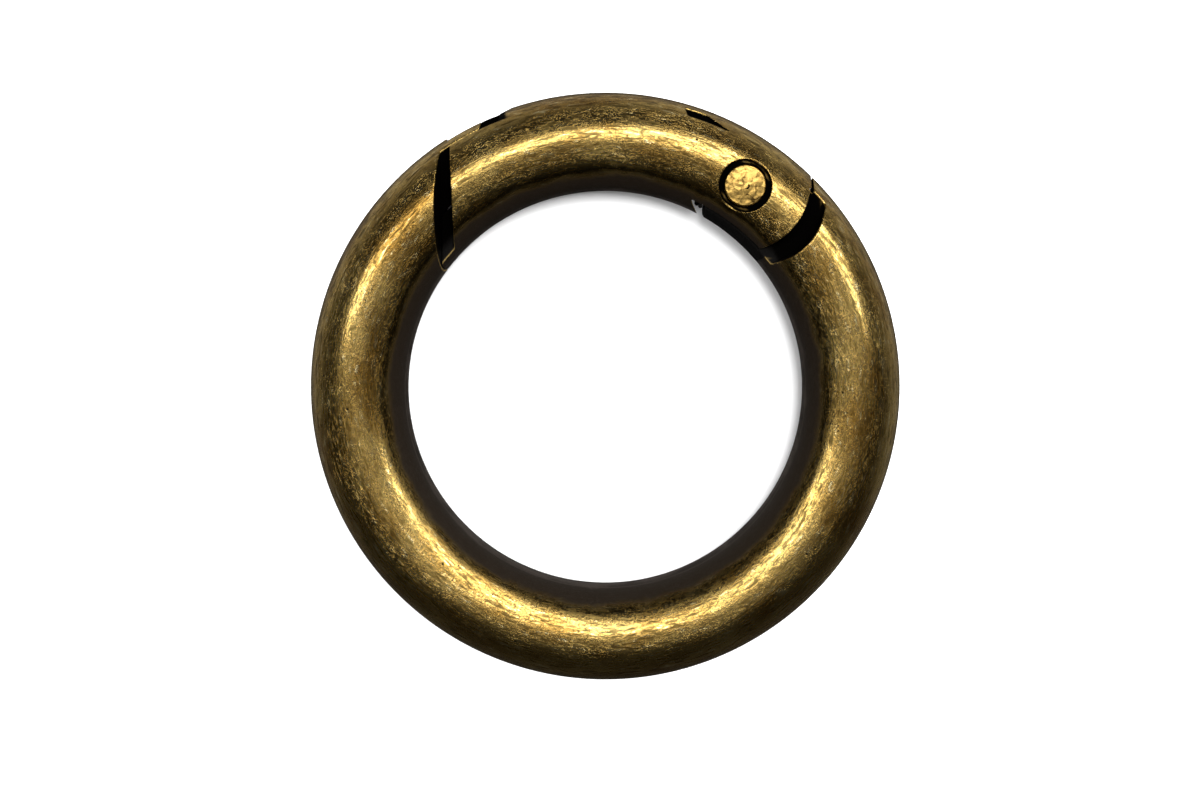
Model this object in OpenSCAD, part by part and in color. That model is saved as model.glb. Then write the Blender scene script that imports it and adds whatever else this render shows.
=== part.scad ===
// Spring gate ring.
// A split ring of round section. Its hinged gate swings inward on a pressed pin and is
// closed again by a small coil spring that lies in a blind bore of the gate's hinge end.
// The ring lies flat, centred on the origin, with its axis along Z. Millimetres and degrees.

/* [Ring] */
// Clear width across the inside of the closed ring
ring_bore = 25; // [22:0.5:40]
// Diameter of the round section
wire_d = 6.2; // [5.8:0.1:8]

/* [Gate] */
// Direction of the hinge pin, counted from +X
pivot_angle = 56; // [40:1:75]
// Turn round the ring from the hinge pin to the gate's end face
gate_span = 72.2; // [62:0.1:84]
// Lean of the gate's end face away from the local radius
seam_rake = 35.8; // [30:0.2:44]
// Gap of the latch seam in the mid-plane
seam_gap = 0.34; // [0.3:0.02:0.7]
// Taper of the gate's end face
gate_end_draft = 0.8; // [0.5:0.1:6]
// Taper of the body's latch shoulder
shoulder_draft = 13; // [4:0.5:15]
// Lean of the shoulder against the gate's end face: the seam is wider at the inner wall
shoulder_lean = 2.4; // [0:0.2:4]
// Turn of the gate from closed to fully open
gate_swing = 38; // [30:1:40]

/* [Hinge] */
// Diameter of the hinge pin
pin_d = 2.6; // [2.1:0.1:3.2]
// Running clearance between the pin and the tongue's eye, on the radius
pin_clear = 0.05; // [0.02:0.01:0.1]
// Metal round the pin in the tongue's eye
eye_wall = 0.7; // [0.6:0.05:0.9]
// Thickness of the hinge tongue
tongue_t = 3.5; // [2.8:0.1:4.2]
// Clearance between the tongue and each cheek of the gate
tongue_clear = 0.15; // [0.1:0.01:0.3]
// Clearance between the tongue and the underside of the gate's roof
roof_clear = 0.1; // [0.08:0.01:0.2]
// Radius of the gate's tail about the pin, in the mid-plane
tail_r = 4.25; // [4:0.05:4.8]
// Gap between the tail and the body's shoulder, in the mid-plane
tail_gap = 0.75; // [0.5:0.05:1.2]
// Diameter of the recess round each end of the pin
recess_d = 3.3; // [2.8:0.1:4.2]
// Depth of that recess below the crest of the section
recess_depth = 0.55; // [0.4:0.05:0.7]
// Height of the pin's end above the floor of its recess
pin_proud = 0.35; // [0.2:0.05:0.5]

/* [Latch] */
// Thickness of the latch nose
nose_t = 3.1; // [2.4:0.1:3.8]
// Clearance between the nose and each side of its slot
nose_clear = 0.1; // [0.08:0.01:0.2]
// Depth of the nose's outer face below the crown of the section
nose_drop = 0.15; // [0:0.05:0.4]
// Height of the nose, from its underside to its outer face
nose_h = 3.4; // [2.8:0.1:4]
// Gap between the nose's underside and the floor of the slot
nose_rest = 0.08; // [0.04:0.02:0.2]
// Reach of the nose round the ring, from the seam to its tip at the crown
nose_reach = 12.6; // [10:0.1:16]
// Gap between the tip of the nose and the end of the slot
tip_gap = 0.2; // [0.15:0.05:0.5]
// Length of the two relief pockets beyond the nose's tip
relief_len = 1; // [0.6:0.1:1.4]
// Thickness of the web between the relief pockets
relief_web = 1.5; // [1:0.1:2]
// Gap between the body's shoulder and the lip that the gate has under the nose
lip_gap = 0.08; // [0.06:0.02:0.2]

/* [Spring] */
// Outer diameter of the spring
spring_od = 1.6; // [1.3:0.05:2]
// Wire diameter of the spring
spring_wire = 0.28; // [0.2:0.02:0.34]
// Number of turns, closed ends included
spring_turns = 9; // [7:1:11]
// Clearance between the spring and its bore, on the radius
spring_clear = 0.1; // [0.06:0.02:0.2]
// Distance of the spring's axis from the pin, towards the inside of the ring
spring_offset = 2; // [1.9:0.05:2.2]
// Depth of the bore, from the pin's centre to its flat end
spring_bore_end = 6.6; // [6:0.1:8]
// Metal left over the eye's bore under the flat that the spring presses
seat_wall = 0.52; // [0.4:0.02:0.7]

/* [Hidden] */

$fn = 96;
ring_fn = 180;                            // facets of the large circles
section_r = wire_d / 2;
ring_r = ring_bore / 2 + section_r;
over = 1;                                 // how far a cutting tool runs past what it cuts
slack = 2;                                // turn by which a slice runs past what it bounds
reach = 2 * ring_r;                       // longer than any cut needs

// Hinge, in the frame of the pin: X points out of the ring, Y towards the latch
eye_bore_r = pin_d / 2 + pin_clear;
eye_r = eye_bore_r + eye_wall;
slot_w = tongue_t + 2 * tongue_clear;
roof_in = eye_r + roof_clear;             // height of the roof's flat underside above the pin
tongue_top = roof_in - 2 * roof_clear;
tail_taper = 0.08;                        // the tail's radius shrinks by this much per mm of height
shoulder_taper = 0.11;                    // the shoulder's radius grows by this much per mm of height
shoulder_r = tail_r + tail_gap;
root_clear = 0.08;                        // gap between the tail's end and the tongue's shoulder
root_r = tail_r + root_clear;             // the tongue stands at full height outside this radius
root_depth = ring_r / 2;                  // the tongue's shank runs this far back into the body
heel_r = 0.7;                             // rounded corner that pushes the spring
heel_room = 0.35;                         // room round the heel at the inner wall of the ring
lip_r = section_r + heel_room;            // end of the slot at that wall
heel_trim = 0.1;                          // the heel is drawn this much too long, then cut flush
heel_step = spring_offset - spring_od / 2 - spring_clear; // the flat ends here, inside the pin
seat_h = sqrt(eye_bore_r * eye_bore_r - heel_step * heel_step) + seat_wall;
heel_u = -(section_r - heel_r + heel_trim); // centre of the heel's corner
heel_v = seat_h - heel_r;
stop_margin = 2;                          // the heel meets the slot's end this far past the swing
stop_turn = gate_swing + stop_margin;
slot_end = heel_r - heel_u * sin(stop_turn) + heel_v * cos(stop_turn);
core_room = 0.5;                          // room between the eye and the end of its hollow
core_mid = eye_r + core_room;             // end of that hollow at full width
core_end = 5.1;                           // end of the two pockets beyond it
core_floor = 0.9;                         // floor of hollow and pockets above the pin's centre
core_rise = 0.1;                          // the pockets' roof lies this far above the hollow's
core_step = 0.5;                          // straight part of each pocket's end wall
runout_end = 6.35;                        // where the sloping end of a pocket comes out
runout_web = 2.4;                         // thickness of the web between the two pockets
recess_floor = section_r - recess_depth;
pin_dome = 0.18;                          // rise of the pin's domed ends

// Latch, in the frame of the ring's centre
seam_angle = pivot_angle + gate_span;
seam_dir = seam_angle - seam_rake;        // direction of the gate's end face in plan
nose_top = ring_r + section_r - nose_drop;
nose_under = nose_top - nose_h;
nose_slot_w = nose_t + 2 * nose_clear;
nose_tip_angle = seam_angle - nose_reach;
// Distance from the pin to the nose's tip: the tip is an arc about the pin
nose_tip_r = pin_distance(nose_top, nose_tip_angle);
slot_tip_r = nose_tip_r - tip_gap;
relief_r = slot_tip_r - relief_len;
relief_floor = ring_r + 1.6;
nose_root = 8;                            // turn from the seam to the nose's end inside the body
pocket_turn = 12;                         // turn beyond the nose's tip that the pockets stay within
ramp_lead = 3.5;                          // turn from the nose's tip to the run-out's deep end
ramp_turn = 4.1;                          // the shallow run-out beyond the slot's end
ramp_step = 0.03;                         // the run-out starts this far below the web's top

seat_play = 0.02;                         // gap between the spring and each of its two seats
coil_sides = 6;                           // sides of the wire's section
coil_steps = 16;                          // steps in each turn of the wire

// Distance from the hinge pin to a point at radius r and angle a about the ring's centre
function pin_distance(r, a) =
    sqrt(r * r + ring_r * ring_r - 2 * r * ring_r * cos(a - pivot_angle));
function polar(r, a) = [r * cos(a), r * sin(a)];
// Points of an arc about c, from angle a0 to a1
function arc(c, r, a0, a1, n = 10) =
    [for (i = [0:n]) c + r * [cos(a0 + (a1 - a0) * i / n), sin(a0 + (a1 - a0) * i / n)]];

// The whole ring as a plain round section
module full_ring() {
    rotate_extrude($fn = ring_fn) translate([ring_r, 0]) circle(r = section_r);
}

// Slice of a pie about the ring's centre, between two angles
module pie(a0, a1, h) {
    linear_extrude(height = h, center = true)
        polygon([[0, 0], polar(reach, a0), polar(reach, (a0 + a1) / 2), polar(reach, a1)]);
}

// Moves its children into the frame of the hinge pin
module at_pin() {
    translate([polar(ring_r, pivot_angle)[0], polar(ring_r, pivot_angle)[1], 0])
        rotate(pivot_angle) children();
}

// Disc about the pin whose radius changes evenly from the mid-plane to both faces
module tapered_disc(r, taper) {
    h = section_r + over;
    at_pin() for (up = [0, 1]) mirror([0, 0, up])
        cylinder(h = h, r1 = r, r2 = r + taper * h);
}

// Everything on the gate's side of the seam: a tapered face moved by shift and turned by lean
module beyond_seam(shift, draft, lean = 0) {
    h = section_r + over;
    back = shift - h * tan(draft);
    translate([polar(ring_r, seam_angle)[0], polar(ring_r, seam_angle)[1], 0])
        rotate(seam_dir - 90 + lean) translate([0, reach, 0]) rotate([90, 0, 0])
            linear_extrude(height = 2 * reach)
                polygon([[shift, 0], [back, h], [2 * reach, h], [2 * reach, -h], [back, -h]]);
}

// Sector of the ring that the gate fills, up to its end face or the body's shoulder
module gate_sector(shift, draft, lean = 0) {
    intersection() {
        beyond_seam(shift, draft, lean);
        pie(pivot_angle, pivot_angle + gate_span + seam_rake, 2 * (section_r + 2 * over));
    }
}

// Ring-shaped band about the ring's centre, between two radii
module band(r_in, r_out, h) {
    difference() {
        cylinder(r = r_out, h = h, center = true, $fn = ring_fn);
        cylinder(r = r_in, h = h + over, center = true, $fn = ring_fn);
    }
}

// Outline of the tongue before it is trimmed to the ring's section:
// the shank, and the heel whose flat and rounded corner push the spring
module tongue_outline() {
    polygon(concat(
        [[section_r + over, -root_depth], [section_r + over, 0], [-heel_step, 0], [-heel_step, seat_h]],
        arc([heel_u, heel_v], heel_r, 90, 180),
        [[-section_r - over, heel_v], [-section_r - over, -root_depth]]
    ));
}

// Hinge tongue: flush with the ring at its root, lower under the gate's roof
module hinge_tongue() {
    intersection() {
        full_ring();
        at_pin() difference() {
            union() {
                difference() {
                    linear_extrude(height = tongue_t, center = true) tongue_outline();
                    // room for the roof, as far as its tail end
                    intersection() {
                        translate([tongue_top, -root_r - over, -tongue_t])
                            cube([section_r, root_r + 2 * over, 2 * tongue_t]);
                        cylinder(r = root_r, h = 2 * tongue_t, center = true);
                    }
                }
                cylinder(r = eye_r, h = tongue_t, center = true);
            }
            cylinder(r = eye_bore_r, h = tongue_t + over, center = true);
            // flat that the spring presses, cut into the side of the eye
            translate([-reach, seat_h, -tongue_t]) cube([reach - heel_step, eye_r, 2 * tongue_t]);
        }
    }
}

// Latch nose: reaches into the gate's slot and stops the gate from outside
module latch_nose() {
    difference() {
        intersection() {
            full_ring();
            band(nose_under, nose_top, nose_t);
            pie(nose_tip_angle - slack, seam_angle + nose_root, nose_t + over);
        }
        at_pin() cylinder(r = nose_tip_r, h = nose_t + over, center = true, $fn = ring_fn);
    }
}

module ring_body() {
    color("darkgoldenrod") union() {
        difference() {
            full_ring();
            gate_sector(-seam_gap, shoulder_draft, -shoulder_lean);
            tapered_disc(shoulder_r, shoulder_taper);
        }
        hinge_tongue();
        latch_nose();
    }
}

// Hollow of the gate's hinge end: the slot for the tongue, open to the inside and to the
// tail, and two cored pockets beyond it, whose flat roofs run out through the curved back
module hinge_hollow() {
    core_top = roof_in + core_rise;
    at_pin() {
        intersection() {
            translate([-reach, -reach, -slot_w / 2]) cube([reach + roof_in, reach + slot_end, slot_w]);
            union() {
                translate([-reach, -reach, -slot_w]) cube([2 * reach, reach, 2 * slot_w]);
                cylinder(r = lip_r, h = slot_w + over, center = true);
            }
        }
        translate([core_floor, 0, -slot_w / 2])
            cube([roof_in - core_floor, core_mid, slot_w]);
        // pockets with sloping run-outs on both sides of a web
        for (side = [0, 1]) mirror([0, 0, side])
            translate([0, 0, runout_web / 2]) linear_extrude(height = (slot_w - runout_web) / 2)
                polygon([[core_floor, core_mid - over], [core_top, core_mid - over],
                         [core_top, runout_end], [core_floor + core_step, core_end],
                         [core_floor, core_end]]);
    }
}

// Slot of the gate's free end: room for the nose, with two relief pockets beyond its tip
module latch_hollow() {
    turn = [nose_tip_angle - pocket_turn, seam_angle + nose_root + slack];
    // slot proper, ended by an arc about the pin
    difference() {
        intersection() {
            band(nose_under - nose_rest, reach, nose_slot_w);
            pie(turn[0], turn[1], nose_slot_w + over);
        }
        at_pin() cylinder(r = slot_tip_r, h = nose_slot_w + over, center = true, $fn = ring_fn);
    }
    // relief pockets
    difference() {
        intersection() {
            band(relief_floor, reach, nose_slot_w);
            pie(turn[0], turn[1], nose_slot_w + over);
        }
        at_pin() cylinder(r = relief_r, h = nose_slot_w + over, center = true, $fn = ring_fn);
        intersection() {
            band(relief_floor - over, nose_top, relief_web);
            pie(turn[0] - slack, turn[1] + slack, relief_web + over);
        }
    }
    // shallow run-out from the pockets up to the crown
    crown = ring_r + section_r;
    ramp_start = nose_tip_angle - ramp_lead;
    linear_extrude(height = nose_slot_w, center = true)
        polygon([polar(nose_top - ramp_step, ramp_start), polar(crown, ramp_start - ramp_turn),
                 polar(crown + over, ramp_start - ramp_turn), polar(crown + over, ramp_start)]);
}

// Lip under the nose: the floor of the gate's slot runs on almost to the body's shoulder
module latch_lip() {
    intersection() {
        beyond_seam(lip_gap - seam_gap, shoulder_draft, -shoulder_lean);
        band(ring_bore / 2 - over, nose_under - nose_rest, nose_slot_w);
        pie(nose_tip_angle, seam_angle + seam_rake, nose_slot_w + over);
    }
}

module gate() {
    color("goldenrod") difference() {
        intersection() {
            full_ring();
            union() {
                gate_sector(0, -gate_end_draft);
                tapered_disc(tail_r, -tail_taper);
                latch_lip();
            }
        }
        hinge_hollow();
        latch_hollow();
        at_pin() {
            cylinder(d = pin_d, h = wire_d + over, center = true);
            for (side = [0, 1]) mirror([0, 0, side])
                translate([0, 0, recess_floor]) cylinder(d = recess_d, h = section_r);
            // blind bore of the spring
            translate([-spring_offset, 0, 0]) rotate([-90, 0, 0])
                cylinder(r = spring_od / 2 + spring_clear, h = spring_bore_end, $fn = 48);
        }
    }
}

// Pin with slightly domed ends, which stop just short of the ring's faces
module pivot_pin() {
    half = recess_floor + pin_proud;
    dome_r = (pow(pin_d / 2, 2) + pow(pin_dome, 2)) / (2 * pin_dome);
    color("peru") at_pin() intersection() {
        cylinder(d = pin_d, h = 2 * half, center = true);
        translate([0, 0, half - dome_r]) sphere(r = dome_r);
        translate([0, 0, dome_r - half]) sphere(r = dome_r);
    }
}

// Height of the spring's wire centre after a share t of its turns: closed ends, open middle
function coil_rise(t, length) =
    let (n = t * spring_turns, pitch = (length - 3 * spring_wire) / (spring_turns - 2))
    spring_wire / 2 + (n < 1 ? n * spring_wire
        : n > spring_turns - 1 ? length - 2 * spring_wire + (n - spring_turns + 1) * spring_wire
        : spring_wire + (n - 1) * pitch);

// Coil spring as one swept solid, standing on the origin along Z
module coil(length) {
    sides = coil_sides;
    steps = coil_steps * spring_turns;
    mean_r = (spring_od - spring_wire) / 2;
    points = [for (i = [0:steps], j = [0:sides - 1])
        let (t = i / steps, a = 360 * t * spring_turns, b = 360 * j / sides,
             r = mean_r + spring_wire / 2 * cos(b))
        [r * cos(a), r * sin(a), coil_rise(t, length) + spring_wire / 2 * sin(b)]];
    walls = [for (i = [0:steps - 1], j = [0:sides - 1])
        let (k = (j + 1) % sides)
        [i * sides + j, i * sides + k, (i + 1) * sides + k, (i + 1) * sides + j]];
    first = [for (j = [sides - 1:-1:0]) j];
    last = [for (j = [0:sides - 1]) steps * sides + j];
    polyhedron(points = points, faces = concat([first], walls, [last]), convexity = 10);
}

// Spring, from the flat of the tongue to the end of its bore
module gate_spring() {
    color("dimgray") at_pin() translate([-spring_offset, seat_h + seat_play, 0])
        rotate([-90, 0, 0]) coil(spring_bore_end - seat_h - 2 * seat_play);
}

ring_body();
gate();
pivot_pin();
gate_spring();
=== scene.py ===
"""Looks of the spring gate ring: a split ring of round section, cast in zinc, plated in
antique brass, with a hinged gate on a peened pin and a small coil spring behind it.

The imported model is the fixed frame. Each casting gets a finished mesh whose edges are
rounded as tumbling leaves them, the pin gets its peened ends, and the spring is wound
by Geometry Nodes. All lengths in the settings below are in millimetres.
"""

from __future__ import annotations

import logging
import math
from dataclasses import dataclass, field
from enum import Enum
from functools import partial

import bmesh
import bpy
import numpy as np
from mathutils import Matrix, Vector, noise

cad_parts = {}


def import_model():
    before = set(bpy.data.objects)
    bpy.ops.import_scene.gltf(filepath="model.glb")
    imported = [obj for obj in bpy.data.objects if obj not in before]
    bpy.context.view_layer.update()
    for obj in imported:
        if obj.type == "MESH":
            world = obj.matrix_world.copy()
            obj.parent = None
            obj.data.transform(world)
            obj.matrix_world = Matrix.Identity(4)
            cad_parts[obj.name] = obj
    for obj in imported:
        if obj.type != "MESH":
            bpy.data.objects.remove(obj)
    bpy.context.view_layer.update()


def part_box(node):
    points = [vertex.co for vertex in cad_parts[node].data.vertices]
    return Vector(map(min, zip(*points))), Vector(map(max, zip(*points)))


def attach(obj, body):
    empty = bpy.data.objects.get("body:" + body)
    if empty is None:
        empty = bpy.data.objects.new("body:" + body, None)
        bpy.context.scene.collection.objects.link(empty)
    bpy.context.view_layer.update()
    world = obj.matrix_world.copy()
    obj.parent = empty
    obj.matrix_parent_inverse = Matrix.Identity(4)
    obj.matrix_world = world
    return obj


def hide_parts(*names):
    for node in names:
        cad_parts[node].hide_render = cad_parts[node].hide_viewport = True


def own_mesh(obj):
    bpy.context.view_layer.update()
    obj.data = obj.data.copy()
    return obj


LOG = logging.getLogger("spring_gate_ring")
MM = 0.001
TINY = 1e-6
SOOT_AND_SHADE = "soot_and_shade"
RIM = "rubbed_rim"

# The two colour inputs of a Mix node, whose names its other inputs have too
UNDER, OVER = 6, 7

Link = bpy.types.NodeSocket | bpy.types.Node
Colour = tuple[float, float, float, float]


class Body(Enum):
    """The moving bodies of the ring."""

    RING = "ring"
    GATE = "gate"


class Slot(Enum):
    """The finishes that the record names."""

    BODY = "body_casting"
    GATE = "gate_casting"
    PIN = "pin_brass"
    SPRING = "spring_wire"


def linear(code: str) -> Colour:
    """Turns an sRGB hex value into a linear colour.

    Args:
        code: Six hex digits after a hash.

    Returns:
        Linear red, green, blue and an alpha of one.
    """
    parts = [int(code[i : i + 2], 16) / 255 for i in (1, 3, 5)]
    lit = [c / 12.92 if c <= 0.04045 else ((c + 0.055) / 1.055) ** 2.4 for c in parts]
    return (lit[0], lit[1], lit[2], 1.0)


def add(
    tree: bpy.types.NodeTree,
    kind: str,
    links: dict[str | int, object] | None = None,
    **settings: object,
) -> bpy.types.Node:
    """Adds a node with its settings and links.

    Args:
        tree: The tree that gets the node.
        kind: The node's type.
        links: For each input, its fixed value or what feeds it: a socket, or a node,
            whose first output in use is taken. An input goes by its name, or by its
            number where several share a name.
        settings: The node's own properties.

    Returns:
        The new node.
    """
    node = tree.nodes.new(kind)
    for name, value in settings.items():
        setattr(node, name, value)
    for key, value in (links or {}).items():
        if isinstance(value, bpy.types.Node):
            value = next(socket for socket in value.outputs if socket.enabled)
        if isinstance(value, bpy.types.NodeSocket):
            tree.links.new(value, node.inputs[key])
        else:
            node.inputs[key].default_value = value
    return node


def blank_tree(owner: bpy.types.Material | bpy.types.World) -> bpy.types.NodeTree:
    """Turns on the nodes of a material or a world and clears them.

    Args:
        owner: The material or world.

    Returns:
        Its empty tree.
    """
    owner.use_nodes = True
    owner.node_tree.nodes.clear()
    return owner.node_tree


def placed(name: str, data: bpy.types.ID) -> bpy.types.Object:
    """Adds an object to the scene, at the origin.

    Args:
        name: Its name.
        data: Its mesh, light or camera.

    Returns:
        The new object.
    """
    thing = bpy.data.objects.new(name, data)
    bpy.context.scene.collection.objects.link(thing)
    return thing


def rows_of(mesh: bpy.types.Mesh, what: str) -> np.ndarray:
    """Reads a vector of each vertex as rows of three.

    Args:
        mesh: The mesh.
        what: The vector's name, such as co or normal.

    Returns:
        One row for each vertex.
    """
    values = np.empty(len(mesh.vertices) * 3)
    mesh.vertices.foreach_get(what, values)
    return values.reshape(-1, 3)


def ramp(values: np.ndarray, start: float, width: float) -> np.ndarray:
    """Rises evenly from zero at start to one at start plus width, for each value."""
    return np.clip((values - start) / width, 0, 1)


@dataclass(frozen=True)
class RoundSection:
    """The torus that both castings are cut from.

    The crest of the cast section lies a little outside its middle line, because the
    inner wall is drawn flatter. Crest is that distance, and brim is the share of the
    section's radius beyond which its effect on the heights no longer grows.
    """

    ring_r: float
    section_r: float
    crest: float = 0.3
    brim: float = 0.995

    @classmethod
    def of_frame(cls) -> RoundSection:
        """Reads the torus from the ring body's box: it is widest at the outer equator.

        Returns:
            The torus.
        """
        low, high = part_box("ring_body")
        outer = max(high.x, -low.x, -low.y) / MM
        section = (high.z - low.z) / 2 / MM
        return cls(ring_r=outer - section, section_r=section)

    @staticmethod
    def turn(points: np.ndarray) -> np.ndarray:
        """Degrees round the ring, from 0 to 360, of rows of points."""
        return np.degrees(np.arctan2(points[:, 1], points[:, 0])) % 360

    def out(self, points: np.ndarray) -> np.ndarray:
        """Distance in plan of points from the section's centre line, negative inside."""
        return np.hypot(points[:, 0], points[:, 1]) - self.ring_r

    def depth(self, points: np.ndarray) -> np.ndarray:
        """Distance of points from the torus surface, negative inside the metal."""
        return np.hypot(self.out(points), points[:, 2]) - self.section_r

    def shifted(self, points: np.ndarray, by: np.ndarray) -> np.ndarray:
        """Moves points straight away from the section's centre line.

        Args:
            points: Rows of x, y and z.
            by: The distance for each row.

        Returns:
            The moved rows.
        """
        flat = np.hypot(points[:, 0], points[:, 1])
        out = self.out(points)
        length = np.maximum(np.hypot(out, points[:, 2]), TINY)
        scale = (length + by) / length
        wider = (self.ring_r + out * scale) / np.maximum(flat, TINY)
        return points * np.column_stack((wider, wider, scale))

    def crested(self, points: np.ndarray) -> np.ndarray:
        """Raises the outer slope and lowers the inner one, with the plan kept.

        Args:
            points: Rows of x, y and z on or in the torus.

        Returns:
            The rows with new heights.
        """
        limit = self.section_r * self.brim
        out = np.clip(self.out(points), -limit, limit)
        off = out - self.crest
        half = self.section_r - np.sign(off) * self.crest
        new = np.sqrt(1 - (off / half) ** 2)
        old = np.sqrt(1 - (out / self.section_r) ** 2)
        return points * np.column_stack((np.ones((len(points), 2)), new / old))

    def away(self, points: np.ndarray) -> np.ndarray:
        """Directions straight away from the section's centre line.

        Args:
            points: Rows of x, y and z.

        Returns:
            One row of length one for each.
        """
        flat = np.hypot(points[:, 0], points[:, 1])
        share = 1 - self.ring_r / np.maximum(flat, TINY)
        rays = points * np.column_stack((share, share, np.ones(len(points))))
        return rays / np.maximum(np.linalg.norm(rays, axis=1, keepdims=True), TINY)


@dataclass(frozen=True)
class AntiqueBrass:
    """Brass plate on a zinc casting, blackened and then tumbled bright again.

    To the eye it is a warm satin metal, pale yellow where it faces the light and olive
    brown elsewhere. Oxide stays in pits, in the strokes of the tumbling media, on the
    inner wall and in every recess, because the media hardly reach them. The inner slope
    and the inner wall are also darkened as painted shade, and the recesses are painted
    near black as painted shade as well as soot. Edges are rubbed bright.

    Middle is the casting's middle in degrees round the ring, opposite which the pattern
    is cut. Shares say how much a layer covers what lies under it. Sizes, heights and
    widths of the marks are in millimetres, pit sizes are shares of the pits' spacing, and
    stroke and pit depths are shares of the relief. Lip, wall and the shaded inner slope
    are two places each across the section, from -1 inside to 1 outside, between which
    that zone fades in, and ragged is how far their borders wander. The shaded inner slope
    is darkened as tarnish and as painted shade.
    """

    name: str
    middle: float
    bright: str = "#EAC674"
    worn: str = "#AC843E"
    rubbed: str = "#FFECB4"
    # Oxide darkens the marks, and the inner slope as painted shade. Inner is the inner
    # wall, dark as oxide and painted shade. Soot is for recesses, as soot and painted
    # shade.
    oxide: str = "#2C210C"
    inner: str = "#2B2218"
    drawn_line: str = "#5A5048"
    soot_and_shade: str = "#0C0A08"
    glint_share: float = 0.75
    streak_share: float = 0.72
    tarnish_and_shade_share: float = 0.82
    line_share: float = 0.60
    rim_share: float = 0.70
    oxide_cover: float = 0.35
    satin: float = 0.20
    dull: float = 0.36
    wall_rough: float = 0.52
    deep_rough: float = 0.85
    grain_size: float = 0.17
    stroke_width: float = 0.10
    stroke_length: float = 0.42
    pit_spacing: float = 0.55
    pit_sizes: tuple[float, float] = (0.03, 0.17)
    cloud_size: float = 2.4
    line_height: float = 0.95
    line_width: float = 0.06
    lip: tuple[float, float] = (-0.93, -1.0)
    wall: tuple[float, float] = (-0.56, -0.72)
    # The inner slope between these two leans is darkened as tarnish and as painted shade
    shaded_slope: tuple[float, float] = (-0.34, -0.56)
    ragged: float = 0.07
    relief: float = 0.012
    relief_share: float = 0.7
    stroke_depth: float = 0.4
    pit_depth: float = 1.6

    def build(self, section: RoundSection) -> bpy.types.Material:
        """Makes the material.

        Args:
            section: The torus that the pattern follows.

        Returns:
            The finished material.
        """
        material = bpy.data.materials.new(self.name)
        tree = blank_tree(material)
        place = self._place(tree, section)
        marks = self._marks(tree, place)
        wear = self._wear(tree, place, marks)
        metal = add(
            tree,
            "ShaderNodeBsdfPrincipled",
            {
                "Base Color": self._colour(tree, marks, wear),
                "Metallic": self._metal_share(tree, wear),
                "Roughness": self._roughness(tree, marks, wear),
                "Normal": self._relief(tree, marks),
            },
        )
        add(tree, "ShaderNodeOutputMaterial", {"Surface": metal})
        return material

    def _place(self, tree: bpy.types.NodeTree, section: RoundSection) -> dict[str, Link]:
        """Lays coordinates along and across the ring, in millimetres.

        Args:
            tree: The material's tree.
            section: The torus that the pattern follows.

        Returns:
            Plain coordinates, two that are drawn out along the ring, and the lean and
            height of the surface.
        """
        put = partial(add, tree)
        source = put("ShaderNodeTexCoord").outputs["Object"]
        plain = put(
            "ShaderNodeMapping",
            {
                "Vector": source,
                "Rotation": (0.0, 0.0, math.radians(-self.middle)),
                "Scale": (1 / MM,) * 3,
            },
        )
        x, y, z = put("ShaderNodeSeparateXYZ", {"Vector": plain}).outputs[:3]
        flat = put("ShaderNodeCombineXYZ", {"X": x, "Y": y})
        length = put("ShaderNodeVectorMath", {0: flat}, operation="LENGTH")
        radius = length.outputs["Value"]
        out = put("ShaderNodeMath", {0: radius, 1: section.ring_r}, operation="SUBTRACT")
        lean = put("ShaderNodeMath", {0: out, 1: section.section_r}, operation="DIVIDE")
        turn = put("ShaderNodeMath", {0: y, 1: x}, operation="ARCTAN2")
        along = put("ShaderNodeMath", {0: turn, 1: section.ring_r}, operation="MULTIPLY")
        places = {"plain": plain.outputs[0], "lean": lean, "height": z}
        stretches = {"drawn": self.stroke_length / self.stroke_width, "loose": 2.0}
        for name, stretch in stretches.items():
            short = put("ShaderNodeMath", {0: along, 1: stretch}, operation="DIVIDE")
            places[name] = put("ShaderNodeCombineXYZ", {"X": short, "Y": out, "Z": z})
        return places

    def _marks(self, tree: bpy.types.NodeTree, place: dict[str, Link]) -> dict[str, Link]:
        """Draws what plating and tumbling leave: grain, strokes, curls, pits and clouds.

        Args:
            tree: The material's tree.
            place: The coordinates.

        Returns:
            Each mark's strength, from zero to one.
        """
        put = partial(add, tree)
        grain = put(
            "ShaderNodeTexNoise",
            {"Vector": place["plain"], "Scale": 1 / self.grain_size, "Detail": 2.0},
        )
        strokes = put(
            "ShaderNodeTexNoise",
            {
                "Vector": place["drawn"],
                "Scale": 0.5 / self.stroke_width,
                "Detail": 3.0,
                "Roughness": 0.62,
                "Distortion": 0.5,
            },
        )
        wander = put(
            "ShaderNodeTexNoise",
            {
                "Vector": place["loose"],
                "Scale": 0.34 / self.stroke_width,
                "Detail": 2.0,
                "Roughness": 0.6,
                "Distortion": 2.2,
            },
        )
        patch = put(
            "ShaderNodeTexNoise",
            {"Vector": place["loose"], "Scale": 0.7, "Detail": 3.0, "Roughness": 0.6},
        )
        clouds = put(
            "ShaderNodeTexNoise",
            {
                "Vector": place["loose"],
                "Scale": 1 / self.cloud_size,
                "Detail": 6.0,
                "Roughness": 0.65,
                "Distortion": 0.4,
            },
        )
        # Curls are the lines along which the wandering noise has its middle value
        middle = put("ShaderNodeMath", {0: wander, 1: 0.5}, operation="SUBTRACT")
        off_line = put("ShaderNodeMath", {0: middle}, operation="ABSOLUTE")
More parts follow.
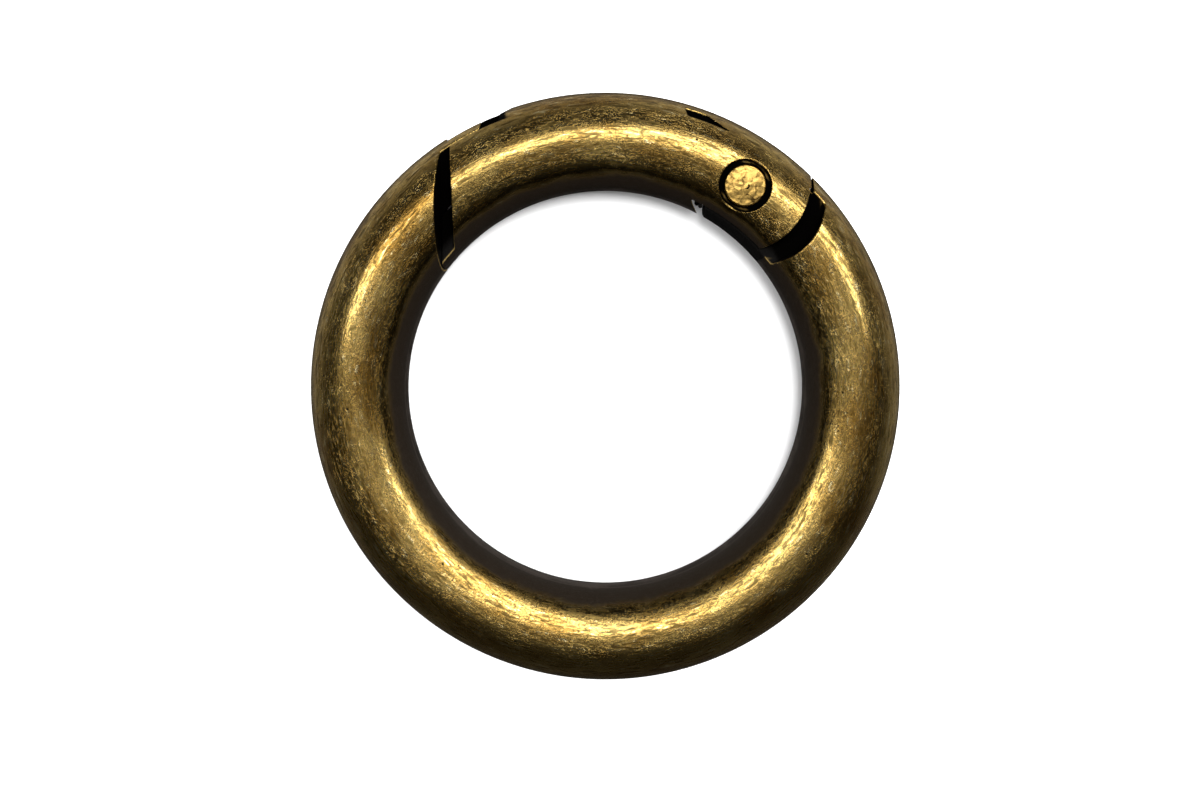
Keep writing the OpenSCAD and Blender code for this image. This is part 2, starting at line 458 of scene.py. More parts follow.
        # Pits are bigger where the patches are
        least, most = self.pit_sizes
        cells = put(
            "ShaderNodeTexVoronoi",
            {"Vector": place["plain"], "Scale": 1 / self.pit_spacing},
        ).outputs["Distance"]
        size = put(
            "ShaderNodeMapRange",
            {
                "Value": patch,
                "From Min": 0.45,
                "From Max": 0.72,
                "To Min": least,
                "To Max": most,
            },
            interpolation_type="SMOOTHSTEP",
        )
        inside = put("ShaderNodeMath", {0: size, 1: cells}, operation="SUBTRACT")
        streaks, glints, curls, pits = (
            put(
                "ShaderNodeMapRange",
                {"Value": level, "From Min": start, "From Max": end},
                interpolation_type="SMOOTHSTEP",
            )
            for level, start, end in (
                (strokes, 0.46, 0.66),
                (strokes, 0.42, 0.30),
                (off_line, 0.022, 0.006),
                (inside, -0.02, 0.03),
            )
        )
        return {
            "grain": grain,
            "streaks": streaks,
            "glints": glints,
            "curls": put("ShaderNodeMath", {0: curls, 1: patch}, operation="MULTIPLY"),
            "clouds": clouds,
            "pits": pits,
        }

    def _wear(
        self, tree: bpy.types.NodeTree, place: dict[str, Link], marks: dict[str, Link]
    ) -> dict[str, Link]:
        """Finds where oxide is left, where shade is painted and where the metal is rubbed
        bright.

        Args:
            tree: The material's tree.
            place: The coordinates.
            marks: The marks of plating and tumbling.

        Returns:
            Inner wall, dark as oxide and as painted shade, with its lighter lines;
            tarnish and painted shade on the inner slope; soot and painted shade in
            recesses; and the rubbed rim, each from zero to one.
        """
        put = partial(add, tree)
        stray = put(
            "ShaderNodeMapRange",
            {
                "Value": marks["clouds"],
                "From Min": 0.3,
                "From Max": 0.7,
                "To Min": -self.ragged,
                "To Max": self.ragged,
            },
        )
        edge = put("ShaderNodeMath", {0: place["lean"], 1: stray}, operation="ADD")
        height = put("ShaderNodeMath", {0: place["height"]}, operation="ABSOLUTE")
        above = put(
            "ShaderNodeMath", {0: height, 1: self.line_height}, operation="SUBTRACT"
        )
        off_line = put("ShaderNodeMath", {0: above}, operation="ABSOLUTE")
        # Inner is the inner wall, dark as oxide and painted shade; the last is the inner
        # slope, darkened as tarnish and painted shade
        line, lip, inner, tarnish_and_shade = (
            put(
                "ShaderNodeMapRange",
                {"Value": level, "From Min": start, "From Max": end},
                interpolation_type="SMOOTHSTEP",
            )
            for level, (start, end) in (
                (off_line, (self.line_width, self.line_width / 3)),
                (edge, self.lip),
                (edge, self.wall),
                (edge, self.shaded_slope),
            )
        )
        return {
            "light": put("ShaderNodeMath", {0: line, 1: lip}, operation="MAXIMUM"),
            "inner": inner,
            "tarnish_and_shade": tarnish_and_shade,
            # Recesses are painted near black: soot, and painted shade in the openings
            "recess": put("ShaderNodeAttribute", attribute_name=SOOT_AND_SHADE).outputs["Fac"],
            "rim": put("ShaderNodeAttribute", attribute_name=RIM).outputs["Fac"],
        }

    def _colour(
        self, tree: bpy.types.NodeTree, marks: dict[str, Link], wear: dict[str, Link]
    ) -> Link:
        """Layers the colours, from bare brass to the near black of recesses, soot and
        painted shade.

        Args:
            tree: The material's tree.
            marks: The marks of plating and tumbling.
            wear: The worn places, and those darkened as oxide and as painted shade.

        Returns:
            The finished colour.
        """
        put = partial(add, tree)
        glint, streak, veil, faint, rim = (
            put("ShaderNodeMath", {0: place, 1: share}, operation="MULTIPLY")
            for place, share in (
                (marks["glints"], self.glint_share),
                (marks["streaks"], self.streak_share),
                (wear["tarnish_and_shade"], self.tarnish_and_shade_share),
                (wear["light"], self.line_share),
                (wear["rim"], self.rim_share),
            )
        )
        dark = streak
        # The veil darkens the inner slope, as tarnish and as painted shade
        for stain in (marks["curls"], marks["pits"], veil):
            dark = put("ShaderNodeMath", {0: dark, 1: stain}, operation="MAXIMUM")
        wall = put(
            "ShaderNodeMix",
            {0: faint, UNDER: linear(self.inner), OVER: linear(self.drawn_line)},
            data_type="RGBA",
        )
        cloudy = put(
            "ShaderNodeMapRange",
            {"Value": marks["clouds"], "From Min": 0.36, "From Max": 0.66},
        )
        colour: Link | Colour = linear(self.bright)
        for share, paint in (
            (cloudy, linear(self.worn)),
            (glint, linear(self.rubbed)),
            (dark, linear(self.oxide)),
            # The inner wall's dark colour is oxide and painted shade
            (wear["inner"], wall),
            (rim, linear(self.bright)),
            # Recesses are painted near black, as soot and as painted shade
            (wear["recess"], linear(self.soot_and_shade)),
        ):
            colour = put(
                "ShaderNodeMix", {0: share, UNDER: colour, OVER: paint}, data_type="RGBA"
            )
        return colour

    def _metal_share(self, tree: bpy.types.NodeTree, wear: dict[str, Link]) -> Link:
        """Bare metal everywhere but under the dull oxide of the inner wall.

        Args:
            tree: The material's tree.
            wear: The worn places, and those darkened as oxide and as painted shade.

        Returns:
            The share of metal.
        """
        put = partial(add, tree)
        covered = put(
            "ShaderNodeMath",
            {0: wear["inner"], 1: self.oxide_cover},
            operation="MULTIPLY",
        )
        return put("ShaderNodeMath", {0: 1.0, 1: covered}, operation="SUBTRACT")

    def _roughness(
        self, tree: bpy.types.NodeTree, marks: dict[str, Link], wear: dict[str, Link]
    ) -> Link:
        """Satin metal that is duller in the streaks, on the inner wall and in recesses.

        Args:
            tree: The material's tree.
            marks: The marks of plating and tumbling.
            wear: The worn places, and those darkened as oxide and as painted shade.

        Returns:
            The roughness.
        """
        put = partial(add, tree)
        satin, wall, deep = (
            put("ShaderNodeMapRange", {"Value": place, "To Min": least, "To Max": most})
            for place, least, most in (
                (marks["streaks"], self.satin, self.dull),
                (wear["inner"], 0.0, self.wall_rough),
                (wear["recess"], 0.0, self.deep_rough),
            )
        )
        rough = put("ShaderNodeMath", {0: satin, 1: wall}, operation="MAXIMUM")
        return put("ShaderNodeMath", {0: rough, 1: deep}, operation="MAXIMUM")

    def _relief(self, tree: bpy.types.NodeTree, marks: dict[str, Link]) -> Link:
        """Raises the grain and sinks the strokes and pits.

        Args:
            tree: The material's tree.
            marks: The marks of plating and tumbling.

        Returns:
            The bent normal.
        """
        put = partial(add, tree)
        stroke, pit = (
            put("ShaderNodeMath", {0: marks[mark], 1: depth}, operation="MULTIPLY")
            for mark, depth in (("streaks", self.stroke_depth), ("pits", self.pit_depth))
        )
        sunk = put("ShaderNodeMath", {0: stroke, 1: marks["curls"]}, operation="ADD")
        low = put("ShaderNodeMath", {0: sunk, 1: pit}, operation="ADD")
        height = put("ShaderNodeMath", {0: marks["grain"], 1: low}, operation="SUBTRACT")
        return put(
            "ShaderNodeBump",
            {
                "Height": height,
                "Strength": self.relief_share,
                "Distance": self.relief * MM,
            },
        )


@dataclass(frozen=True)
class PeenedBrass:
    """Brass plate on a hammered pin end: bright flats with brown stains between them.

    A small crescent of soot is left where the punch slipped, to the right of the middle.
    Its place, from the pin's axis, and all sizes and fades are in millimetres. Blots are
    the two levels of the stains' noise between which a stain fades in.
    """

    name: str = "peened_antique_brass"
    bright: str = "#D8B060"
    stain: str = "#4A3416"
    soot_and_shade: str = "#0C0A08"
    blot_size: float = 0.5
    blots: tuple[float, float] = (0.48, 0.70)
    rough: float = 0.3
    relief: float = 0.03
    side_fade: float = 0.12
    punch: tuple[float, float] = (0.08, -0.04)
    punch_r: float = 0.2
    punch_fade: float = 0.02
    punch_shift: tuple[float, float] = (-0.09, 0.07)

    def build(self, rim: float, axis: Vector) -> bpy.types.Material:
        """Makes the material.

        Args:
            rim: Height in millimetres under which the pin's side is black, as soot and as
            painted shade in the gap round the pin.
            axis: The pin's centre in millimetres.

        Returns:
            The finished material.
        """
        material = bpy.data.materials.new(self.name)
        tree = blank_tree(material)
        put = partial(add, tree)
        source = put("ShaderNodeTexCoord").outputs["Object"]
        place = put("ShaderNodeMapping", {"Vector": source, "Scale": (1 / MM,) * 3})
        blots = put(
            "ShaderNodeTexNoise",
            {
                "Vector": place,
                "Scale": 1 / self.blot_size,
                "Detail": 5.0,
                "Roughness": 0.6,
                "Distortion": 1.4,
            },
        )
        height = put("ShaderNodeSeparateXYZ", {"Vector": place}).outputs["Z"]
        level = put("ShaderNodeMath", {0: height}, operation="ABSOLUTE")
        side, share = (
            put(
                "ShaderNodeMapRange",
                {"Value": value, "From Min": start, "From Max": end},
                interpolation_type="SMOOTHSTEP",
            )
            for value, (start, end) in (
                (level, (rim, rim - self.side_fade)),
                (blots, self.blots),
            )
        )
        face = put(
            "ShaderNodeMix",
            {0: share, UNDER: linear(self.bright), OVER: linear(self.stain)},
            data_type="RGBA",
        )
        crescent = self._crescent(tree, place, axis)
        # The pin's side is painted black, as soot and as painted shade in the gap round
        # it
        black = put("ShaderNodeMath", {0: side, 1: crescent}, operation="MAXIMUM")
        colour = put(
            "ShaderNodeMix",
            {0: black, UNDER: face, OVER: linear(self.soot_and_shade)},
            data_type="RGBA",
        )
        bump = put(
            "ShaderNodeBump",
            {"Height": blots, "Strength": 0.5, "Distance": self.relief * MM},
        )
        metal = put(
            "ShaderNodeBsdfPrincipled",
            {
                "Base Color": colour,
                "Metallic": 1.0,
                "Roughness": self.rough,
                "Normal": bump,
            },
        )
        put("ShaderNodeOutputMaterial", {"Surface": metal})
        return material

    def _crescent(self, tree: bpy.types.NodeTree, place: Link, axis: Vector) -> Link:
        """Cuts one disc out of another beside it, which leaves the punch's crescent.

        Args:
            tree: The material's tree.
            place: The coordinates in millimetres.
            axis: The pin's centre in millimetres.

        Returns:
            One inside the crescent and zero outside.
        """
        put = partial(add, tree)
        flat = put(
            "ShaderNodeVectorMath", {0: place, 1: (1.0, 1.0, 0.0)}, operation="MULTIPLY"
        )
        spot = (axis.x + self.punch[0], axis.y + self.punch[1], 0.0)
        beside = (spot[0] + self.punch_shift[0], spot[1] + self.punch_shift[1], 0.0)
        rim, inner_rim = self.punch_r, self.punch_r - self.punch_fade
        disc, rest = (
            put(
                "ShaderNodeMapRange",
                {
                    "Value": put(
                        "ShaderNodeVectorMath", {0: flat, 1: centre}, operation="DISTANCE"
                    ),
                    "From Min": start,
                    "From Max": end,
                },
            )
            for centre, start, end in ((spot, rim, inner_rim), (beside, inner_rim, rim))
        )
        return put("ShaderNodeMath", {0: disc, 1: rest}, operation="MULTIPLY")


@dataclass(frozen=True)
class DrawnSteel:
    """Drawn spring steel wire, blackened: smooth, near black and oily to the eye."""

    name: str = "blackened_spring_steel"
    bright: str = "#4A4743"
    dark: str = "#1E1C1A"
    mottle: float = 0.5
    rough: float = 0.32

    def build(self) -> bpy.types.Material:
        """Makes the material.

        Returns:
            The finished material.
        """
        material = bpy.data.materials.new(self.name)
        put = partial(add, blank_tree(material))
        source = put("ShaderNodeTexCoord").outputs["Object"]
        tone = put(
            "ShaderNodeTexNoise",
            {"Vector": source, "Scale": 1 / (self.mottle * MM), "Detail": 4.0},
        )
        colour = put(
            "ShaderNodeMix",
            {0: tone, UNDER: linear(self.bright), OVER: linear(self.dark)},
            data_type="RGBA",
        )
        metal = put(
            "ShaderNodeBsdfPrincipled",
            {"Base Color": colour, "Metallic": 1.0, "Roughness": self.rough},
        )
        put("ShaderNodeOutputMaterial", {"Surface": metal})
        return material


@dataclass(frozen=True)
class SootAndShadePatch:
    """A stretch of a casting that the tumbling media never reach, painted near black as
    soot and as painted shade, since it lies in shadow.

    Turn gives its two ends in degrees round the ring, lean its two limits across the
    section from -1 inside to 1 outside, and height its two limits above or below the
    middle plane in millimetres. Fade is the width of its border in millimetres.
    """

    turn: tuple[float, float]
    lean: tuple[float, float]
    height: tuple[float, float]
    fade: float = 0.06

    def share(self, points: np.ndarray, section: RoundSection) -> np.ndarray:
        """How far each point lies inside the patch.

        Args:
            points: Rows of x, y and z.
            section: The torus.

        Returns:
            From zero outside to one inside, for each row.
        """
        flat = np.hypot(points[:, 0], points[:, 1])
        turn = np.radians(section.turn(points))
        start, stop = (math.radians(end) for end in self.turn)
        inner, outer = (lean * section.section_r for lean in self.lean)
        low, high = self.height
        out, height = section.out(points), np.abs(points[:, 2])
        room = [(turn - start) * flat, (stop - turn) * flat]
        room += [out - inner, outer - out, height - low, high - height]
        return np.clip(np.min(room, axis=0) / self.fade + 0.5, 0, 1)


@dataclass(frozen=True)
class DrawnTip:
    """A tip that is drawn out a little round the ring, so that no light shows past it.

    Tip and root are degrees round the ring, and reach is how far the tip moves away from
    its root, in millimetres. Points are left alone beyond span lengths of the tip from
    its root. Lean is where the tip starts across the section, in section radii from the
    centre line, and fade is the width of its border there.
    """

    tip: float
    root: float
    reach: float
    lean: float = -1.1
    fade: float = 0.1
    span: float = 2.5

    def moved(self, points: np.ndarray, section: RoundSection) -> np.ndarray:
        """Moves the points of the tip.

        Args:
            points: Rows of x, y and z.
            section: The torus.

        Returns:
            All rows, with those of the tip moved.
        """
        flat = np.hypot(points[:, 0], points[:, 1])
        turn = section.turn(points)
        share = ramp(-turn, -self.root, self.root - self.tip)
        share *= abs(self.root - self.tip) * self.span > np.abs(turn - self.root)
        share *= ramp(section.out(points) / section.section_r, self.lean, self.fade)
        way = math.copysign(self.reach, self.tip - self.root)
        angle = share * way / np.maximum(flat, TINY)
        cos, sin = np.cos(angle), np.sin(angle)
        x, y = points[:, 0], points[:, 1]
        return np.column_stack((x * cos - y * sin, x * sin + y * cos, points[:, 2]))


@dataclass
class Casting:
    """A casting of the ring: the CAD solid with edges rounded by tumbling.

    Lengths are in millimetres. Grain is the spacing of the fine skin that is rounded,
    edge is the spread of the rounding, ease is how far one pass of it moves a point, and
    most is the number of triangles kept. Between the two depths of shoulder, the surface
    goes from lying exactly on the torus to falling away at an edge.

    The rest are pairs of a start and a width over which a mark fades in. Steep is how
    little a wall faces outwards, as a negative cosine. Wall and floor are the depths from
    which a steep face and any face are painted near black, as soot and as painted shade
    in the openings. Rim and rim_end are the depths at which the rubbed rim starts and
    ends, the second as a height.
    """

    node: str
    body: Body
    slot: Slot
    finish: AntiqueBrass
    section: RoundSection
    grain: float
    edge: float = 0.06
    ease: float = 0.62
    most: int = 180000
    shoulder: tuple[float, float] = (0.015, 0.06)
    steep: tuple[float, float] = (-0.93, 0.1)
    wall: tuple[float, float] = (0.05, 0.04)
    floor: tuple[float, float] = (0.22, 0.1)
    rim: tuple[float, float] = (0.008, 0.022)
    rim_end: tuple[float, float] = (-0.09, 0.04)
    soot_and_shade_patches: tuple[SootAndShadePatch, ...] = ()
    drawn: tuple[DrawnTip, ...] = ()

    def build(self) -> bpy.types.Object:
        """Makes the finished piece and sets it in place of its CAD node.

        Returns:
            The new object.
        """
        merged = self._merged()
        skin = self._modified(merged, "REMESH", mode="VOXEL", voxel_size=self.grain)
        self._rounded(skin)
        share = self.most / self._triangles(skin)
        mesh = self._modified(skin, "DECIMATE", ratio=share) if share < 1 else skin
        self._settled(mesh)
        mesh.transform(Matrix.Scale(MM, 4))
        mesh.shade_smooth()
        mesh.materials.clear()
        mesh.materials.append(self.finish.build(self.section))
        piece = placed(f"{self.node}_casting", mesh)
        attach(piece, self.body.value)
        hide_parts(self.node)
        LOG.info("%s: %d triangles", piece.name, self._triangles(mesh))
        return piece

    @staticmethod
    def _triangles(mesh: bpy.types.Mesh) -> int:
        """Number of triangles in a mesh."""
        mesh.calc_loop_triangles()
        return len(mesh.loop_triangles)

    def _merged(self) -> bpy.types.Mesh:
        """Copies the CAD node's loose triangles and joins them.

        Returns:
            A closed mesh in millimetres.
        """
        work = bmesh.new()
        work.from_mesh(bpy.data.objects[self.node].data)
        bmesh.ops.scale(work, vec=(1 / MM,) * 3, verts=work.verts)
        bmesh.ops.remove_doubles(work, verts=work.verts, dist=1e-4)
        mesh = bpy.data.meshes.new(f"{self.node}_merged")
        work.to_mesh(mesh)
        work.free()
        return mesh

    @staticmethod
    def _modified(mesh: bpy.types.Mesh, kind: str, **settings: object) -> bpy.types.Mesh:
        """Runs one modifier over a mesh.

        Args:
            mesh: The mesh, which is used up.
            kind: The modifier's type.
            settings: Its properties.

        Returns:
            The changed mesh.
        """
        carrier = placed("carrier", mesh)
        step = carrier.modifiers.new(kind.lower(), kind)
        for name, value in settings.items():
            setattr(step, name, value)
        graph = bpy.context.evaluated_depsgraph_get()
        result = bpy.data.meshes.new_from_object(carrier.evaluated_get(graph))
        bpy.data.objects.remove(carrier)
        bpy.data.meshes.remove(mesh)
        return result

    def _rounded(self, mesh: bpy.types.Mesh) -> None:
        """Rounds the edges by a few passes of smoothing.

        Args:
            mesh: The fine skin, which is changed.
        """
        points = rows_of(mesh, "co")
        ends = np.empty(len(mesh.edges) * 2, dtype=np.int64)
        mesh.edges.foreach_get("vertices", ends)
        one, two = ends.reshape(-1, 2).T
        count = np.maximum(np.bincount(ends, minlength=len(points)), 1)
        for _ in range(round(2 * self.edge**2 / (self.ease * self.grain**2))):
            for axis in range(3):
                place = points[:, axis]
                total = np.bincount(one, place[two], len(points))
                total += np.bincount(two, place[one], len(points))
                points[:, axis] = place + self.ease * (total / count - place)
        mesh.vertices.foreach_set("co", points.ravel())

    def _settled(self, mesh: bpy.types.Mesh) -> None:
        """Puts what belongs on the torus exactly on it and lets the edges fall away.

        Args:
            mesh: The rounded skin, which is changed.
        """
        points = rows_of(mesh, "co")
        depth = self.section.depth(points)
        near, far = self.shoulder
        share = ramp(-depth, near, far - near)
        keep = share * share * (3 - 2 * share)
        target = np.minimum(depth, 0) * keep
        points = self.section.shifted(points, target - depth)
        mesh.vertices.foreach_set("co", points.ravel())
        mesh.update()
        self._marked(mesh, points, -target)
        for tip in self.drawn:
            points = tip.moved(points, self.section)
        mesh.vertices.foreach_set("co", self.section.crested(points).ravel())
        mesh.update()

    def _marked(self, mesh: bpy.types.Mesh, points: np.ndarray, deep: np.ndarray) -> None:
        """Marks the walls and floors of openings, and the rounded rims round them.

        Tumbling media don't reach the first, which are painted near black as soot and as
        painted shade, and they rub the second bright.

        Args:
            mesh: The finished skin, which gets the attributes.
            points: Its points.
            deep: Their depths under the torus.
        """
        facing = np.sum(rows_of(mesh, "normal") * self.section.away(points), axis=1)
        # Walls and floors of openings are painted near black: soot, and painted shade
        wall = ramp(-facing, *self.steep) * ramp(deep, *self.wall)
        soot_and_shade = np.maximum(wall, ramp(deep, *self.floor))
        # These patches are painted near black, as soot and as painted shade
        for patch in self.soot_and_shade_patches:
            soot_and_shade = np.maximum(soot_and_shade, patch.share(points, self.section))
        rim = ramp(deep, *self.rim) * ramp(-deep, *self.rim_end)
        for name, share in ((SOOT_AND_SHADE, soot_and_shade), (RIM, rim)):
            mark = mesh.attributes.new(name, "FLOAT", "POINT")
            mark.data.foreach_set("value", share)


@dataclass
class PeenedPin:
    """The hinge pin, whose two ends were hammered over inside their recesses.

    Sizes are in millimetres, and flat, roll and fade are shares of the pin's radius.
    Rings and spokes count the faces of one end, roll_curve is how suddenly the rim turns
    down, and stamp places the hammer's pattern. Grooves and swells are the two parts of
    a dent's depth: what is left between blows, and slow waves. Narrow says how narrow
    the first are, and quick how short the second.
    """

    finish: PeenedBrass
    rings: int = 36
    spokes: int = 128
    flat: float = 0.995
    dome: float = 0.08
    edge: float = 0.07
    roll: float = 0.07
    roll_curve: float = 2.2
    fade: float = 0.10
    dents: float = 0.04
    dent_size: float = 0.6
    stamp: tuple[float, float, float] = (7.3, -2.1, 3.7)
    grooves: float = 0.55
    swells: float = 0.45
    narrow: float = 1.3
    quick: float = 0.8

    def build(self) -> bpy.types.Object:
        """Makes the pin in place of its CAD node.

        Returns:
            The new object.
        """
        low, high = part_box("pivot_pin")
        centre = (low + high) / 2 / MM
        radius = (high.x - low.x) / 2 / MM
        half = (high.z - low.z) / 2 / MM
        mesh = self._lathe(centre, radius, half)
        mesh.materials.append(self.finish.build(half - self.dome - self.edge, centre))
        piece = placed("peened_pin", mesh)
        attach(piece, Body.GATE.value)
        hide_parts("pivot_pin")
        LOG.info("%s: %d faces", piece.name, len(mesh.polygons))
        return piece

    def _profile(self, radius: float, half: float) -> list[tuple[float, float]]:
        """Half outline of the pin, from the middle of one end to its waist.

        Args:
            radius: The pin's radius.
            half: Half of the pin's length.

        Returns:
            Pairs of radius and height.
        """
        shares = [self.flat * i / self.rings for i in range(1, self.rings)] + [1.0]
        end = [(radius * share, self._crowned(share, half)) for share in shares]
        return end + [(radius, end[-1][1] - self.edge), (radius, half / 2), (radius, 0.0)]

    def _crowned(self, share: float, half: float) -> float:
        """Height of the end, which falls towards its rolled-over rim."""
        rim = max(0.0, (share - 1 + self.roll) / self.roll) ** self.roll_curve
        return half - self.dome * share**2 - self.edge * rim

    def _lathe(self, centre: Vector, radius: float, half: float) -> bpy.types.Mesh:
        """Turns the outline round the axis and hammers both ends.

        Args:
            centre: The pin's centre.
            radius: The pin's radius.
            half: Half of its length.

        Returns:
            The mesh, in metres.
        """
        outline = self._profile(radius, half)
        work = bmesh.new()
        full = outline + [(r, -z) for r, z in reversed(outline[:-1])]
        tip = work.verts.new((0, 0, half - self._dent(0, 0, 1)))
        rows: list[list[bmesh.types.BMVert]] = []
        for r, z in full:
            side = 1 if z > 0 else -1
            fade = min(1.0, (radius - r) / (self.fade * radius))
            row = []
            for k in range(self.spokes):
                turn = 2 * math.pi * k / self.spokes
                x, y = r * math.cos(turn), r * math.sin(turn)
                sunk = side * fade * self._dent(x, y, side)
                row.append(work.verts.new((x, y, z - sunk)))
            rows.append(row)
        tail = work.verts.new((0, 0, -half + self._dent(0, 0, -1)))
        for k in range(self.spokes):
            n = (k + 1) % self.spokes
            work.faces.new((tip, rows[0][k], rows[0][n]))
            work.faces.new((tail, rows[-1][n], rows[-1][k]))
            for a, b in zip(rows, rows[1:]):
                work.faces.new((a[k], b[k], b[n], a[n]))
        bmesh.ops.recalc_face_normals(work, faces=work.faces)
        bmesh.ops.translate(work, vec=centre, verts=work.verts)
        bmesh.ops.scale(work, vec=(MM,) * 3, verts=work.verts)
        mesh = bpy.data.meshes.new("peened_pin")
        work.to_mesh(mesh)
        work.free()
        mesh.shade_smooth()
        return mesh

    def _dent(self, x: float, y: float, side: int) -> float:
        """Depth of the hammer's marks at one place of an end.

        Args:
            x: The place's distance from the axis along x.
            y: Its distance along y.
            side: One for the upper end, minus one for the lower.

        Returns:
            The depth.
        """
        right, back, up = self.stamp
        spot = Vector((x + right, y + back, up * side)) / self.dent_size
        cells = noise.voronoi(spot)[0]
        groove = 1 - min(1.0, (cells[1] - cells[0]) * self.narrow)
        swell = 0.5 + 0.5 * noise.noise(spot * self.quick)
        return self.dents * (self.grooves * groove + self.swells * swell)


@dataclass
class GateSpring:
    """The coil spring in the gate's blind bore, wound by Geometry Nodes.

    Sizes are in millimetres. Pivot_angle is where the hinge lies in degrees round the
    ring, square to which the spring lies. Steps and sides count the faces along one turn
    and round the wire. Keep, the share of its length left with the gate open, is not
    used.
    """

    finish: DrawnSteel
    pivot_angle: float
    turns: float = 9.0
    wire: float = 0.28
    outer: float = 1.6
    steps: int = 40
    sides: int = 14
    keep: float = 0.73

    def build(self) -> bpy.types.Object:
        """Winds the spring and sets it in place of its CAD node.

        Returns:
            The new object.
        """
        start, end = self._ends()
        carrier = placed("coil_carrier", bpy.data.meshes.new("coil_carrier"))
        tree = self._tree(self.finish.build())
        coil = carrier.modifiers.new("coil", "NODES")
        coil.node_group = tree
        sizes = {
            "Turns": self.turns,
            "Length": (end - start).length,
            "Mean Radius": (self.outer - self.wire) / 2 * MM,
            "Wire Radius": self.wire / 2 * MM,
        }
        for item in tree.interface.items_tree:
            if item.item_type == "SOCKET" and item.name in sizes:
                coil[item.identifier] = sizes[item.name]
        graph = bpy.context.evaluated_depsgraph_get()
        mesh = bpy.data.meshes.new_from_object(carrier.evaluated_get(graph))
        bpy.data.objects.remove(carrier)
        axis = (end - start).normalized()
        turn = axis.to_track_quat("Z", "Y").to_matrix().to_4x4()
        mesh.transform(Matrix.Translation(start) @ turn)
        mesh.name = "coil_spring"
        piece = placed("coil_spring", mesh)
        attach(piece, Body.GATE.value)
        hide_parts("gate_spring")
        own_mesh(piece)
        LOG.info("%s: %d faces", piece.name, len(mesh.polygons))
        return piece

    def _ends(self) -> tuple[Vector, Vector]:
        """Finds the coil's two end points from the CAD spring's own vertices.

        Returns:
            The end at the tongue and the end in the bore, on the coil's axis.
        """
        points = np.array([v.co for v in bpy.data.objects["gate_spring"].data.vertices])
        turn = math.radians(self.pivot_angle)
        along = np.array((-math.sin(turn), math.cos(turn), 0.0))
        across = np.array((math.cos(turn), math.sin(turn), 0.0))
        reach, side = points @ along, points @ across
        middle = across * (side.min() + side.max()) / 2
        return Vector(middle + along * reach.min()), Vector(middle + along * reach.max())

    def _tree(self, material: bpy.types.Material) -> bpy.types.NodeTree:
        """Builds the tree that winds the coil, with one closed turn at each end.

        Args:
            material: The wire's finish.

        Returns:
            The node group.
        """
        tree = bpy.data.node_groups.new("wound_coil", "GeometryNodeTree")
        for name in ("Turns", "Length", "Mean Radius", "Wire Radius"):
            tree.interface.new_socket(name, in_out="INPUT", socket_type="NodeSocketFloat")
        tree.interface.new_socket(
            "Geometry", in_out="OUTPUT", socket_type="NodeSocketGeometry"
        )
        put = partial(add, tree)
        given = put("NodeGroupInput").outputs
        spiral = put(
            "GeometryNodeCurveSpiral",
            {
                "Resolution": self.steps,
                "Rotations": given["Turns"],
                "Start Radius": given["Mean Radius"],
                "End Radius": given["Mean Radius"],
                "Height": 0.0,
            },
        )
        lifted = put(
            "GeometryNodeSetPosition",
            {
                "Geometry": spiral,
                "Offset": put("ShaderNodeCombineXYZ", {"Z": self._rise(tree, given)}),
            },
        )
        round_wire = put(
            "GeometryNodeCurvePrimitiveCircle",
            {"Resolution": self.sides, "Radius": given["Wire Radius"]},
        )
        swept = put(
            "GeometryNodeCurveToMesh",
            {"Curve": lifted, "Profile Curve": round_wire, "Fill Caps": True},
        )
        smooth = put("GeometryNodeSetShadeSmooth", {"Geometry": swept})
        real = put("GeometryNodeRealizeInstances", {"Geometry": smooth})
        dressed = put("GeometryNodeSetMaterial", {"Geometry": real, "Material": material})
        put("NodeGroupOutput", {0: dressed})
        return tree

    @staticmethod
    def _rise(tree: bpy.types.NodeTree, given: bpy.types.bpy_prop_collection) -> Link:
        """Lifts the wire's middle line as it winds round.

        A closed turn rises by the wire's thickness. The two of them and the thickness of
        the wire itself take three thicknesses off the length that the open turns fill.

        Args:
            tree: The coil's tree.
            given: The tree's inputs, by name.

        Returns:
            The height over the start.
        """
        put = partial(add, tree)
        turns, wire_r = given["Turns"], given["Wire Radius"]
        share = put("GeometryNodeSplineParameter").outputs["Factor"]
        wound = put("ShaderNodeMath", {0: share, 1: turns}, operation="MULTIPLY")
        wire = put("ShaderNodeMath", {0: wire_r, 1: 2.0}, operation="MULTIPLY")
        last_turn = put("ShaderNodeMath", {0: turns, 1: 1.0}, operation="SUBTRACT")
        ends = put("ShaderNodeMath", {0: wire, 1: 3.0}, operation="MULTIPLY")
        room = put("ShaderNodeMath", {0: given["Length"], 1: ends}, operation="SUBTRACT")
        first, middle, last = (
            put(
                "ShaderNodeMapRange",
                {
                    "Value": wound,
                    "From Min": start,
                    "From Max": stop,
                    "To Min": 0.0,
                    "To Max": height,
                },
            )
            for start, stop, height in (
                (0.0, 1.0, wire),
                (1.0, last_turn, room),
                (last_turn, turns, wire),
            )
        )
        lower = put("ShaderNodeMath", {0: first, 1: middle}, operation="ADD")
        upper = put("ShaderNodeMath", {0: last, 1: wire_r}, operation="ADD")
        return put("ShaderNodeMath", {0: lower, 1: upper}, operation="ADD")


